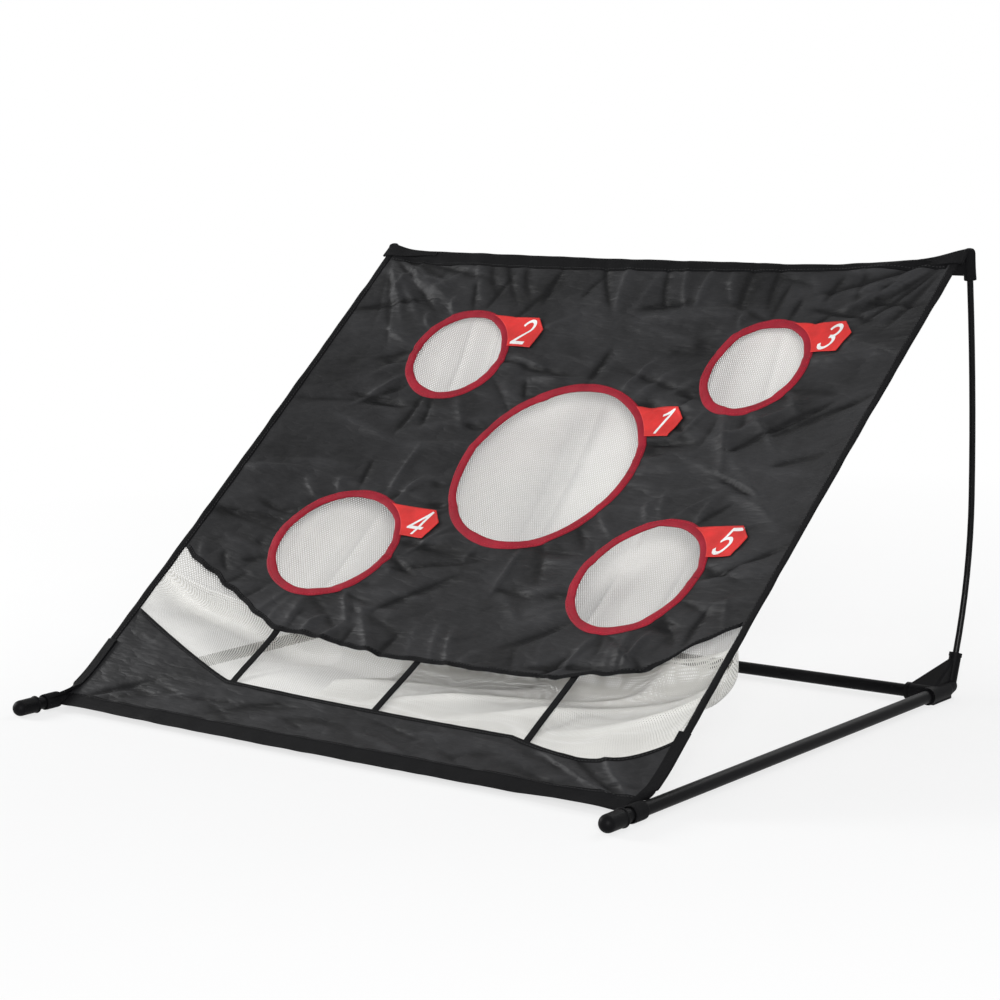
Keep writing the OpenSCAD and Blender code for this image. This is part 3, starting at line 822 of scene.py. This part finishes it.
# strokes of each numeral, on a base line with height 1
NUMERALS = {
    1: [line(-0.2, 0.8, 0.1, 1), line(0.1, 1, 0.1, 0)],
    2: [arc(0, 0.71, 0.28, 0.29, 160, -38), line(0.22, 0.53, -0.3, 0), line(-0.3, 0, 0.32, 0)],
    3: [arc(0, 0.75, 0.25, 0.25, 155, -90), arc(0, 0.25, 0.29, 0.26, 92, -160)],
    4: [line(0.16, 0, 0.16, 1), line(0.16, 1, -0.34, 0.27), line(-0.34, 0.27, 0.36, 0.27)],
    5: [line(0.3, 1, -0.16, 1), line(-0.16, 1, -0.24, 0.55), arc(-0.01, 0.31, 0.3, 0.32, 140, -150)],
}


def stroke(path):
    """The path's points moved out along its normal by -1 to 1 half widths, with both
    ends drawn out so that strokes join."""
    step = np.gradient(path, axis=0)
    step /= np.hypot(*step.T)[:, None]
    path = path.copy()
    path[0] -= step[0] * STROKE * 0.42
    path[-1] += step[-1] * STROKE * 0.42
    normal = stacked(-step[:, 1], step[:, 0])
    side = np.linspace(-0.5, 0.5, 4)[None, :, None] * STROKE
    return path[:, None, :] + normal[:, None, :] * side


def number(n, x, v):
    """All strokes, slanted, sized and laid on the tab's own surface."""
    points, faces, count = [], [], 0
    for path in NUMERALS[n]:
        grid = stroke(path)
        faces.append(grid_faces(*grid.shape[:2])[:, ::-1] + count)
        points.append(grid.reshape(-1, 2))
        count += len(points[-1])
    flat = np.concatenate(points)
    px = x + (NARROW * flat[:, 0] + SLANT * (flat[:, 1] - 0.5)) * NUMBER_H
    pv = v + (flat[:, 1] - 0.5) * NUMBER_H
    placed = in_frame(px, pv, cloth_at(px, pv) + TAB_LIFT + 0.7 * MM)
    piece(f"number_{n}", placed, np.concatenate(faces), stacked(px, pv), white_print)


for n in NUMERALS:
    number(n, *tab(n))
print("tabs:", len(NUMERALS))

# %% [markdown]
# ## Stitches
# Every binding and hem is sewn down by a row of lock stitches a few millimetres long.
# One stitch is a small closed spindle; its copies are placed along a seam line as one
# array, so a row is a single mesh.

# %% Stitch rows
STITCH_PITCH = 4.8 * MM
STITCH_LEN = 3.4 * MM
THREAD_R = 0.42 * MM
STITCH_ROWS = 5
STITCH_SIDES = 6


def run_along(x, y):
    """Metres run from a line's first point: the steps' lengths, added up."""
    return np.concatenate([[0], np.cumsum(np.hypot(np.diff(x), np.diff(y)))])


def stitches(name, x, v, lift, material):
    """Spindles at even steps along the line (x, v). Their radius is R(1 - 0.7 u^4) at
    share u of half the length, and they lie lower towards both ends, where the thread
    goes through the cloth."""
    run = run_along(x, v)
    spots = np.arange(STITCH_PITCH, run[-1] - STITCH_PITCH / 2, STITCH_PITCH)
    cx, cv = np.interp(spots, run, x), np.interp(spots, run, v)
    dx = np.interp(spots + 1e-3, run, x) - cx
    dv = np.interp(spots + 1e-3, run, v) - cv
    size = np.hypot(dx, dv)
    dx, dv = (dx / size)[:, None, None], (dv / size)[:, None, None]
    u = np.linspace(-1, 1, STITCH_ROWS)[None, :, None]
    turn = circle(STITCH_SIDES)[None, None, :]
    r = THREAD_R * (1 - 0.7 * u ** 4)
    px = cx[:, None, None] + dx * u * STITCH_LEN / 2 - dv * r * np.cos(turn)
    pv = cv[:, None, None] + dv * u * STITCH_LEN / 2 + dx * r * np.cos(turn)
    w = cloth_at(cx, cv)[:, None, None] + lift - 0.35 * MM * u ** 2 + r * np.sin(turn)
    n = STITCH_ROWS * STITCH_SIDES
    ends = [list(range(STITCH_SIDES - 1, -1, -1)), list(range(n - STITCH_SIDES, n))]
    faces = [list(f) for f in grid_faces(STITCH_ROWS, STITCH_SIDES, wrap=True)] + ends
    all_faces = [[i + n * k for i in f] for k in range(len(spots)) for f in faces]
    piece(name, in_frame(px, pv, w), all_faces, stacked(px, pv), material)


for n, (cx, cv, r) in enumerate(TARGETS, start=1):
    s = np.linspace(0, 2 * np.pi, 200)
    seam = r + RING_W * 0.78
    stitches(f"ring_stitches_{n}", cx + seam * np.cos(s), cv + seam * np.sin(s), 1.25 * MM,
        red_thread)
for name, edge, offset, lift in (("top", top_edge, -TOP_HEM_W + 7 * MM, 1.2),
        ("bottom", bottom_edge, BOTTOM_HEM_W - 3 * MM, 1.2),
        ("upper_slot", slot_lip, FOLD_W - 2 * MM, 1.0),
        ("lower_slot", slot_bottom_at, -LOWER_FOLD_W + 2 * MM, 1.0)):
    seam = cross_line(lambda x: edge(x) + offset)
    stitches(name + "_stitches", seam[:, 0], seam[:, 1], lift * MM, black_thread)
for side, word in SIDES:
    v = np.linspace(WEDGE_H, COVER_H - TOP_HEM_W, 100)
    stitches(word + "_side_stitches", side * (half_at(v) - SIDE_HEM_W + 5.5 * MM), v,
        1.2 * MM, black_thread)

# %% [markdown]
# ## Slot dividers
# Three narrow straps run behind the cloth across the slots, and keep them apart.

# %% Straps
DIVIDER_W = 11 * MM         # the solid's is 9 mm
for n, x0 in enumerate(DIVIDERS, start=1):
    v = np.linspace(float(slot_bottom_at(x0)) - 10 * MM, float(slot_lip(x0)) + 7 * MM, 40)
    t = circle(12)
    section_x = blunt(np.cos(t), 0.5) * DIVIDER_W / 2
    section_w = blunt(np.sin(t), 0.5) * 0.6 * MM
    x = x0 + section_x[None, :] + 0.5 * MM * np.sin(v / 0.02)[:, None]
    vv = np.broadcast_to(v[:, None], x.shape)
    w = cloth_at(x, vv) - CLOTH_T / 2 - 1.0 * MM + section_w[None, :]
    uv = stacked(vv, x + section_w[None, :])
    strap = swept(f"divider_strap_{n}", in_frame(x, vv, w), uv, webbing)
    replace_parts(strap, f"slot_divider_{n}")
print("straps:", len(DIVIDERS))

# %% [markdown]
# ## The catch net
# The net hangs from behind the top hem, stands off the holes so that a ball drops
# behind the cover, and ends in a bag below them, sewn to the flap's edge. Its rows
# run down the back and round the bag. Each row is a height up the cover and two
# shares of depth, joined by a smooth curve, and soft folds hang across it.

# %% Net
NET_BACK = 70 * MM
BAG_DEPTH = 82 * MM
BAG_TOP = 233 * MM
BULGE = 8 * MM              # how much wider the bag is at each end than the solid's
PINCH = 0.58                # share of depth that the bag loses at its ends, unlike the solid's
NET_CLEAR = 3 * MM          # the least room between cloth and net
# height up the cover, share of the net's depth
BACK_ROWS = [(COVER_H - 32 * MM, 0.0), (COVER_H - 75 * MM, 0.25), (0.700, 0.65), (0.560, 0.9),
    (0.420, 1.0), (0.310, 1.0), (BAG_TOP + 20 * MM, 0.9)]
# share of the way from the bag's top to the flap's edge, of its depth, of the net's
BAG_ROWS = [(0, 0, 0.88), (0.04, 0.42, 0.45), (0.08, 0.8, 0.15), (0.15, 1, 0.14),
    (0.28, 0.9, 0.16), (0.42, 0.62, 0.16), (0.62, 0.3, 0.1), (0.82, 0.1, 0.03), (1, 0, 0)]


def smooth_rows(values, t):
    """A Catmull-Rom curve through the values at whole numbers, at each t."""
    p = np.asarray(values, float)
    p = np.concatenate([2 * p[:1] - p[1:2], p, 2 * p[-1:] - p[-2:-1]])
    k = np.clip(t.astype(int), 0, len(p) - 4)
    u = (t - k)[:, None]
    a, b, c, d = p[k], p[k + 1], p[k + 2], p[k + 3]
    return 0.5 * (2 * b + (c - a) * u + (2 * a - 5 * b + 4 * c - d) * u ** 2
        + (3 * b - 3 * c + d - a) * u ** 3)


TABLE = [(h, 0, 0, d) for h, d in BACK_ROWS] + [(BAG_TOP, f, bag, d) for f, bag, d in BAG_ROWS]
FIRST_BAG_ROW = len(BACK_ROWS)


def net_sheet(name, s, t, inward, folds, node_name=None):
    """s runs across from -1 to 1 and t down the rows. The depth is the row's, less
    towards both ends. inward lifts the sheet off it towards the cover, and folds adds
    ridges, both in metres."""
    h, f, bag, depth = smooth_rows(TABLE, t).T[:, :, None]
    s = s[None, :]
    f, bag, depth = np.clip(f, 0, 1), np.maximum(bag, 0), np.maximum(depth, 0)
    v = h + f * (slot_bottom_at(s * (HALF - SIDE_HEM_W / 2)) - 4 * MM - h)
    x = s * (half_at(v) - SIDE_HEM_W / 2 + BULGE * np.minimum(bag, 1))
    pinch = 1 - PINCH * s ** 6
    back = bag * BAG_DEPTH * pinch * (1 - s ** 40) + depth * (1 - s ** 4) * NET_BACK
    ridge = folds(s, t[:, None], f)
    loose = np.minimum(1, back / (30 * MM))
    w = cover_at(x, v) - HEM_T / 2 - 0.7 * MM - back + (inward + ridge) * loose
    w = np.minimum(w, cloth_at(x, v) - NET_CLEAR)
    middle = len(s[0]) // 2
    uv = stacked(x, run_along(v[:, middle], w[:, middle])[:, None])
    made = piece(name, in_frame(x, v, w), grid_faces(*w.shape)[:, ::-1], uv, net_white)
    if node_name:
        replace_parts(made, node_name)
    return made


def hanging_folds(s, t, f):
    """Soft waves across the width, and thin pleats: bells 1 / (1 + d^2) that drift
    sideways as they run down. Sizes are in millimetres."""
    ridge = 5 * np.cos(5 * np.pi * s) + 2 * np.sin(17 * s + 0.15 * t)
    for place, width, size in PLEATS:
        d = (s - place - 0.012 * np.sin(t / 2 + 9 * place)) / width
        ridge = ridge + size / (1 + d * d)
    return ridge * MM * (1 - 0.4 * f)


# place and width as shares of half the net's width, and height in millimetres
PLEATS = [(place, pick(0.006, 0.018), pick(-3, 4.5))
    for place in np.linspace(-0.92, 0.92, 24) + pick(-0.03, 0.03, 24)]
across_all = np.sin(np.linspace(-np.pi / 2, np.pi / 2, 380))
down_all = np.linspace(0, len(TABLE) - 1, 150)
catch_net = net_sheet("net_mesh", across_all, down_all, 0, hanging_folds, "catch_net")


# %% The surplus in the bag
def lying_folds(s, _, f):
    """The surplus lies in the bag in slanting folds: bells across lines that climb
    from left to right, and a slow wave. Sizes are in millimetres."""
    slant = f + 1.1 * s
    ridge = 2 * np.sin(9 * s + 2 * f)
    for place, width, size in ((0.5, 0.07, 9), (0.86, 0.05, 12), (1.2, 0.06, 13),
            (1.5, 0.05, 9)):
        d = (slant - place) / width
        ridge = ridge + size / (1 + d * d)
    return ridge * MM


gather = net_sheet("net_gather", np.linspace(-0.2, 0.97, 200),
    np.linspace(FIRST_BAG_ROW + 0.6, len(TABLE) - 1, 90), 9 * MM, lying_folds)
print("net faces:", len(catch_net.data.polygons), len(gather.data.polygons))

# %% [markdown]
# ## Front loops
# At each lower corner the cloth is held by webbing: a sleeve round the side tube, and
# a wedge that runs up from it onto the side hem.

# %% Loops
LOOP_FRONT = 40 * MM
LOOP_LEN = 24 * MM
WEB_T = 2 * MM
LOOP_INNER = TUBE_R + 0.5 * MM
LANDING = math.radians(50)  # from the tube's top round to its inner side
LANDING_R = TUBE_R + 2.2 * MM


def loop_sleeve(side, word):
    """A short tube with rounded lips: radius by section angle, carried round the tube's
    axis, with a shallow wave where the webbing is pulled tight."""
    t = circle(16)
    along = blunt(np.cos(t), 0.35) * LOOP_LEN / 2
    out = blunt(np.sin(t), 0.6) * WEB_T / 2
    s = circle(64)[:, None]
    r = LOOP_INNER + WEB_T / 2 + out[None, :] + 0.12 * MM * np.sin(6 * s)
    y = -LOOP_FRONT + LOOP_LEN / 2 + along[None, :] + 0.5 * MM * np.sin(2 * s)
    rows = stacked(side * HALF + r * np.cos(s), y - MID_Y, r * np.sin(s) + AXIS_H)
    uv = stacked(s * TUBE_R, along[None, :] + out[None, :])
    return swept(word + "_loop_sleeve", rows, uv, webbing, loop=True)


def loop_wedge(side, word):
    """Rows run from the hem down to the loop. Their width starts as the hem's and ends
    along the tube's inner side, so the strip twists; a straight mix joins the two."""
    b = np.linspace(0, 1, 40)[:, None]
    a = np.linspace(0, 1, 12)[None, :]
    turn_at = 0.6
    share = np.clip(b / turn_at, 0, 1)
    v = mix(WEDGE_H, 20 * MM, share) + 0 * a
    on_hem = stacked(half_at(v) - SIDE_HEM_W * (1 - a), v, FLARE * turned(v) + 0.4 * MM)
    y = mix(-LOOP_FRONT, 6 * MM, a) + 0 * b
    x = HALF - LANDING_R * math.sin(LANDING)
    z = LANDING_R * math.cos(LANDING)
    on_loop = stacked(x, y * math.cos(LEAN) + z * math.sin(LEAN),
        z * math.cos(LEAN) - y * math.sin(LEAN))
    t = np.clip((b - turn_at) / (1 - turn_at), 0, 1)[..., None]
    spot = on_hem * (1 - t) + on_loop * t
    points = in_frame(side * spot[..., 0], spot[..., 1], spot[..., 2])
    made = piece(word + "_loop_wedge", points, grid_faces(*v.shape)[:, ::side],
        stacked(b * 0.14, a * 0.03), webbing)
    thicken(made, WEB_T + 1.2 * MM, 0.5 * MM)


for side, word in SIDES:
    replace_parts(loop_sleeve(side, word), word + "_front_loop")
    loop_wedge(side, word)

# %% [markdown]
# ## Corner pockets
# Each upper corner has a webbing sleeve that slips over the rod's tip, and a patch
# that joins it to both hems.

# %% Pockets
TIP_OUT = 10 * MM
TIP_RISE = 552 * MM
TIP_Y = 687 * MM
TIP_LEAN = math.radians(7)
SPLAY = math.asin(TIP_OUT / TIP_RISE)
ROD_FOOT = 656 * MM
POCKET_LEN = 34 * MM
CORNER_REACH = 15 * MM
POCKET_R = 5.8 * MM + WEB_T


def tip_place(side):
    """The rod's end: out of the foot by the splay, then to the tip and over by its
    lean."""
    mirror = Matrix.Diagonal((side, 1, 1, 1))
    return (mirror @ Matrix.Translation((HALF, ROD_FOOT - MID_Y, AXIS_H))
        @ Matrix.Rotation(SPLAY, 4, "Y") @ Matrix.Translation((0, TIP_Y - ROD_FOOT, TIP_RISE))
        @ Matrix.Rotation(TIP_LEAN, 4, "X"))


def pocket_sleeve(side, word):
    """A profile of radius and height turned round the tip: a closed, rounded top, a
    slightly waisted side and a turned lip at the mouth."""
    profile = np.array([(0.0, 6.4), (2.6, 6.3), (5.6, 5.3), (7.2, 3.2), (7.8, 0), (7.6, -8),
        (7.5, -18), (7.7, -28), (7.9, -32), (7.7, -33.8), (7.0, -34), (6.3, -33.6),
        (6.0, -31), (5.9, -20), (5.9, 2), (4.4, 3.6), (0.0, 4.0)]) * MM
    s = circle(48)[:, None]
    r = profile[None, :, 0] * (1 + 0.03 * np.sin(3 * s) + 0.02 * np.sin(7 * s + 1))
    rows = stacked(r * np.cos(s), r * np.sin(s), profile[None, :, 1])
    place = np.array(tip_place(side))
    rows = rows @ place[:3, :3].T + place[:3, 3]
    uv = stacked(s * 7 * MM, run_along(*profile.T)[None, :])
    return weld(swept(word + "_pocket_sleeve", rows, uv, webbing, loop=True))


def pocket_patch(side, word):
    """Between the hems' ends and a line that rises from the top hem to the sleeve. Its
    base line drifts from the hem's outer edge (a = 0) to the cover's corner (a = 1)."""
    edge = float(half_at(COVER_H))
    width = 6.5 * SIDE_HEM_W
    a = np.linspace(0, 1, 60)[None, :]
    b = np.linspace(0, 1, 12)[:, None]
    x = edge - width + a * (width + POCKET_R * 0.6) + 0 * b
    base = mix(top_line(side * x), top_edge(x), a)
    low = base - 10 * MM
    high = base - 2 * MM + (CORNER_REACH + 3 * MM) * np.clip(a * 1.06, 0, 1) ** 1.8
    v = mix(low, high, b)
    w = cover_at(x, v) + 0.4 * MM + 1.2 * MM * np.sin(9 * a) * a
    made = piece(word + "_pocket_patch", in_frame(side * x, v, w),
        grid_faces(*x.shape)[:, ::side], stacked(x, v), hem_tape)
    thicken(made, HEM_T, 0.6 * MM)


def pocket_web(side, word):
    """A straight mix from the side hem's outer edge (a = 0) to the sleeve's axis
    (a = 1), down the sleeve's length."""
    a = np.linspace(0, 1, 12)[None, :, None]
    b = np.linspace(0, 1, 16)[:, None]
    v = COVER_H - (POCKET_LEN - 4 * MM) * b
    on_hem = in_frame(side * (half_at(v) - SIDE_HEM_W / 2), v, cover_at(HALF, v))
    place = np.array(tip_place(side))
    down = stacked(0, 0, -(POCKET_LEN - 5 * MM) * b)
    axis = down @ place[:3, :3].T + place[:3, 3]
    points = on_hem * (1 - a) + axis * a
    made = piece(word + "_pocket_web", points, grid_faces(*points.shape[:2])[:, ::-side],
        stacked(a[..., 0] * 0.02, b * POCKET_LEN), hem_tape)
    thicken(made, HEM_T, 0.6 * MM)


for side, word in SIDES:
    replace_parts(pocket_sleeve(side, word), word + "_top_pocket")
    pocket_patch(side, word)
    pocket_web(side, word)

# %% [markdown]
# ## Cloth sizes
# Each sheet's area is printed beside the size it was cut to before it was hung. The
# panel and flap are pulled flat by the rods, so they are stretched; the net hangs.

# %% Sheets
def flat_area(obj):
    """Area of the sheet's own faces, without its thickness."""
    areas = np.zeros(len(obj.data.polygons))
    obj.data.polygons.foreach_get("area", areas)
    return float(areas.sum())


for sheet, width, length, held, hangs_from in (
        (panel, 0.925, 0.710, "stretched", ["top_hem_sleeve", "left_hem_sleeve"]),
        (flap, 0.925, 0.190, "stretched", ["bottom_hem_sleeve"]),
        (catch_net, 0.960, 1.080, "hung", ["top_hem_sleeve", "flap_cloth"]),
        (gather, 0.560, 0.280, "gathered", ["net_mesh", "flap_cloth"])):
    area = flat_area(sheet)
    print(sheet.name, "area", round(area, 4), "of", round(width * length, 4))

# %% [markdown]
# ## Floor, light and camera
# A wide pale floor keeps the soft shadow. To the camera, and in glossy and see-through
# rays, the world is plain white, while the cloth itself is lit at an even level by a
# dome and three large soft lamps.

# %% Floor
FLOOR_SIZE = 14.0
floor_mesh = bpy.data.meshes.new("floor")
h = FLOOR_SIZE / 2
floor_mesh.from_pydata([(-h, -h, 0), (h, -h, 0), (h, h, 0), (-h, h, 0)], [], [(0, 1, 2, 3)])
floor = in_scene("floor", floor_mesh)


def direct_rays(f):
    """1 for rays from the camera, from a mirror and through glass, 0 for the rest."""
    paths = node(f, "ShaderNodeLightPath")
    seen = paths.outputs["Is Camera Ray"]
    for ray in ("Is Glossy Ray", "Is Transmission Ray"):
        seen = maths(f, "MAXIMUM", seen, paths.outputs[ray])
    return seen


def change_over(f, share, first, second, end):
    """Sends the end node a mix that goes from first to second as share does 0 to 1."""
    both = node(f, "ShaderNodeMixShader", Fac=share)
    feed(f, both.inputs[1], first)
    feed(f, both.inputs[2], second)
    feed_all(f, f["tree"].nodes[end], Surface=both.outputs["Shader"])


def floor_finish():
    """Pale matt paper. Seen directly, 0.7 of it glows white near the object and all of
    it does far away, so it keeps the shadow and shows no horizon."""
    f = finish("pale_paper", (0.9, 0.9, 0.9), 0.9)
    tint(f, noise(f, own_place(f), 3.0), 0.99, 1.01)
    light = node(f, "ShaderNodeEmission", Strength=1.0)
    away = node(f, "ShaderNodeVectorMath", Vector=own_place(f))
    away.operation = "LENGTH"
    far = node(f, "ShaderNodeMapRange", Value=away.outputs["Value"], From_Min=0.6,
        From_Max=2.2, To_Min=0.7, To_Max=1.0)
    share = maths(f, "MULTIPLY", direct_rays(f), far.outputs["Result"])
    change_over(f, share, f["shader"].outputs["BSDF"], light.outputs["Emission"],
        "Material Output")
    return f["material"]


floor_mesh.materials.append(floor_finish())
print("floor, metres:", FLOOR_SIZE)

# %% Light
world = bpy.data.worlds.new("studio")
bpy.context.scene.world = world
world.use_nodes = True
sky = {"tree": world.node_tree}
dome = feed_all(sky, world.node_tree.nodes["Background"], Color=(0.96, 0.98, 1.0, 1),
    Strength=0.28)
white = node(sky, "ShaderNodeBackground", Color=(1, 1, 1, 1), Strength=1.0)
change_over(sky, direct_rays(sky), dome.outputs[0], white.outputs[0], "World Output")


def lamp(name, place, aim, size, watts):
    """A square soft lamp at a place, turned so that its face looks at a point."""
    data = bpy.data.lights.new(name, "AREA")
    data.size = size
    data.energy = watts
    obj = in_scene(name, data)
    back = Vector(place) - Vector(aim)
    obj.rotation_euler = back.to_track_quat("Z", "Y").to_euler()
    obj.location = place


lamp("key", (2.3, -2.6, 1.2), (0, 0, 0.25), 0.9, 90)
lamp("rake", (-2.9, -0.8, 1.2), (0, 0, 0.25), 0.9, 62)
lamp("rim", (0.3, 2.4, 2.2), (0, 0, 0.3), 1.6, 30)
print("lamps:", len(bpy.data.lights))

# %% Camera
CAMERA_PLACE = (1.9187, -2.3268, 0.7198)
HEADING, PITCH, ROLL = (math.radians(angle) for angle in (39.23, -8.57, -1.53))
camera_data = bpy.data.cameras.new("camera")
camera_data.lens = 86.135
camera_data.sensor_width = 36
camera = in_scene("camera", camera_data)
camera.matrix_world = (Matrix.Translation(CAMERA_PLACE) @ Matrix.Rotation(HEADING, 4, "Z")
    @ Matrix.Rotation(math.pi / 2 + PITCH, 4, "X") @ Matrix.Rotation(ROLL, 4, "Z"))
bpy.context.scene.camera = camera
bpy.context.scene.view_settings.view_transform = "Standard"
print("camera at", CAMERA_PLACE)
